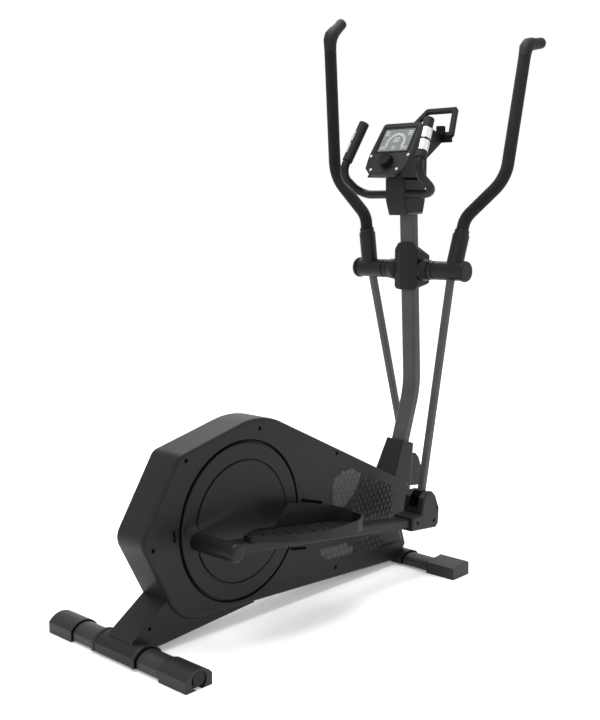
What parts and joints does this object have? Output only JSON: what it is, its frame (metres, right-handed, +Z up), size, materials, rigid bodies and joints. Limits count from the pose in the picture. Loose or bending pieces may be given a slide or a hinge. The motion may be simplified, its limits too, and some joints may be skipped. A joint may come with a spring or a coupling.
{
  "type": "elliptical trainer",
  "caption": "Front-post elliptical trainer with crank discs, swinging handlebars, footplates on rocking arms, a console with pulse bar and two stabiliser feet.",
  "frame": {"origin": "on the floor under the middle of the machine's box at rest", "axes": "+X forward, the way the user faces; +Y to the user's left; +Z up"},
  "size_m": [1.4666, 0.5688, 1.6527],
  "materials": {
    "cover_plastic": "fine moulded grain",
    "disc_plastic": "satin moulded",
    "foot_plastic": "fine moulded grain",
    "frame_paint": "satin powder coat",
    "steel": "zinc plated",
    "flywheel_iron": "turned",
    "foam": "closed cell foam",
    "grip_rubber": "soft matt",
    "pulse_plate": "stainless plate",
    "console_plastic": "satin moulded",
    "display_window": "clear window over the display",
    "key_plastic": "white keys",
    "pedal_plastic": "ribbed moulded",
    "nylon": "natural",
    "belt_rubber": "ribbed belt"
  },
  "bodies": {
    "machine": {"main_frame": "frame_paint", "rear_stabiliser": "frame_paint", "front_stabiliser": "frame_paint", "foot_caps": "foot_plastic", "frame_bolts": "steel", "rear_leg_cover": "cover_plastic", "front_saddle": "cover_plastic", "body_cover_left": "cover_plastic", "body_cover_right": "cover_plastic", "cover_screws": "steel", "console_post": "frame_paint", "post_shroud": "cover_plastic", "hub_cover": "cover_plastic", "swing_axle": "steel", "swing_bushings": "nylon", "console_neck": "console_plastic", "pulse_bar": "frame_paint", "pulse_grips": "grip_rubber", "pulse_pads": "pulse_plate", "console_back": "console_plastic", "console_fascia": "console_plastic", "console_display": "display_window", "tablet_holder": "console_plastic", "crank_bearings": "steel", "drive_belt": "belt_rubber", "flywheel_axle": "steel", "brake_motor": "nylon"},
    "crank": {"crank_axle": "steel", "crank_arms": "steel", "crank_discs": "disc_plastic", "drive_pulley": "nylon"},
    "flywheel": {"flywheel": "flywheel_iron"},
    "brake": {"brake_arm": "frame_paint"},
    "knob": {"console_knob": "console_plastic"},
    "swing_left": {"swing_arm_left": "frame_paint", "tee_cap_left": "cover_plastic", "socket_cover_left": "cover_plastic", "handlebar_left": "frame_paint", "foam_grip_left": "foam", "handle_end_left": "grip_rubber"},
    "pedal_left": {"pedal_arm_left": "frame_paint", "pivot_bolt_left": "steel", "joint_covers_left": "cover_plastic", "pedal_left": "pedal_plastic"},
    "dial_left": {"level_dial_left": "foot_plastic"},
    "swing_right": {"swing_arm_right": "frame_paint", "tee_cap_right": "cover_plastic", "socket_cover_right": "cover_plastic", "handlebar_right": "frame_paint", "foam_grip_right": "foam", "handle_end_right": "grip_rubber"},
    "pedal_right": {"pedal_arm_right": "frame_paint", "pivot_bolt_right": "steel", "joint_covers_right": "cover_plastic", "pedal_right": "pedal_plastic"},
    "dial_right": {"level_dial_right": "foot_plastic"},
    "key_upper_left": {"key_upper_left": "key_plastic"},
    "key_upper_right": {"key_upper_right": "key_plastic"},
    "key_lower_left": {"key_lower_left": "key_plastic"},
    "key_lower_right": {"key_lower_right": "key_plastic"}
  },
  "joints": [
    {"name": "crank_turn", "type": "hinge", "parent": "machine", "child": "crank", "pos_m": [-0.35232, 0, 0.276], "axis": [0, 1, 0], "continuous": true},
    {"name": "flywheel_turn", "type": "hinge", "parent": "machine", "child": "flywheel", "pos_m": [-0.01732, 0, 0.235], "axis": [0, 1, 0], "continuous": true},
    {"name": "brake_lift", "type": "hinge", "parent": "machine", "child": "brake", "pos_m": [0.09593, 0, 0.25497], "axis": [0, 1, 0], "range_deg": [0, 6]},
    {"name": "swing_right_rock", "type": "hinge", "parent": "machine", "child": "swing_right", "pos_m": [0.41968, 0, 0.892], "axis": [0, -1, 0], "range_deg": [0, 28.24]},
    {"name": "swing_left_rock", "type": "hinge", "parent": "machine", "child": "swing_left", "pos_m": [0.41968, 0, 0.892], "axis": [0, -1, 0], "range_deg": [-28.24, 0]},
    {"name": "pedal_right_tilt", "type": "hinge", "parent": "swing_right", "child": "pedal_right", "pos_m": [0.2828, -0.153, 0.23307], "axis": [0, -1, 0], "range_deg": [-29.33, 0]},
    {"name": "pedal_left_tilt", "type": "hinge", "parent": "swing_left", "child": "pedal_left", "pos_m": [0.61086, 0.153, 0.24673], "axis": [0, -1, 0], "range_deg": [0, 29.33]},
    {"name": "knob_turn", "type": "hinge", "parent": "machine", "child": "knob", "pos_m": [0.29916, 0, 1.21234], "axis": [-0.8331, 0, 0.5531], "continuous": true},
    {"name": "dial_left_turn", "type": "hinge", "parent": "machine", "child": "dial_left", "pos_m": [-0.69232, 0.258, 0.021], "axis": [0, 1, 0], "range_deg": [0, 180]},
    {"name": "dial_right_turn", "type": "hinge", "parent": "machine", "child": "dial_right", "pos_m": [-0.69232, -0.258, 0.021], "axis": [0, -1, 0], "range_deg": [0, 180]},
    {"name": "key_upper_left_press", "type": "slide", "parent": "machine", "child": "key_upper_left", "axis": [0.8331, 0, -0.5531], "range_m": [0, 0.001], "stiffness_N_per_m": 300},
    {"name": "key_upper_right_press", "type": "slide", "parent": "machine", "child": "key_upper_right", "axis": [0.8331, 0, -0.5531], "range_m": [0, 0.001], "stiffness_N_per_m": 300},
    {"name": "key_lower_left_press", "type": "slide", "parent": "machine", "child": "key_lower_left", "axis": [0.8331, 0, -0.5531], "range_m": [0, 0.001], "stiffness_N_per_m": 300},
    {"name": "key_lower_right_press", "type": "slide", "parent": "machine", "child": "key_lower_right", "axis": [0.8331, 0, -0.5531], "range_m": [0, 0.001], "stiffness_N_per_m": 300}
  ],
  "couplings": [
    {"joint": "flywheel_turn", "follows": "crank_turn", "ratio": 5.9091},
    {"joint": "swing_left_rock", "follows": "swing_right_rock", "ratio": -1},
    {"joint": "pedal_right_tilt", "follows": "swing_right_rock", "ratio": -1.0383},
    {"joint": "pedal_left_tilt", "follows": "swing_right_rock", "ratio": 1.0383}
  ]
}
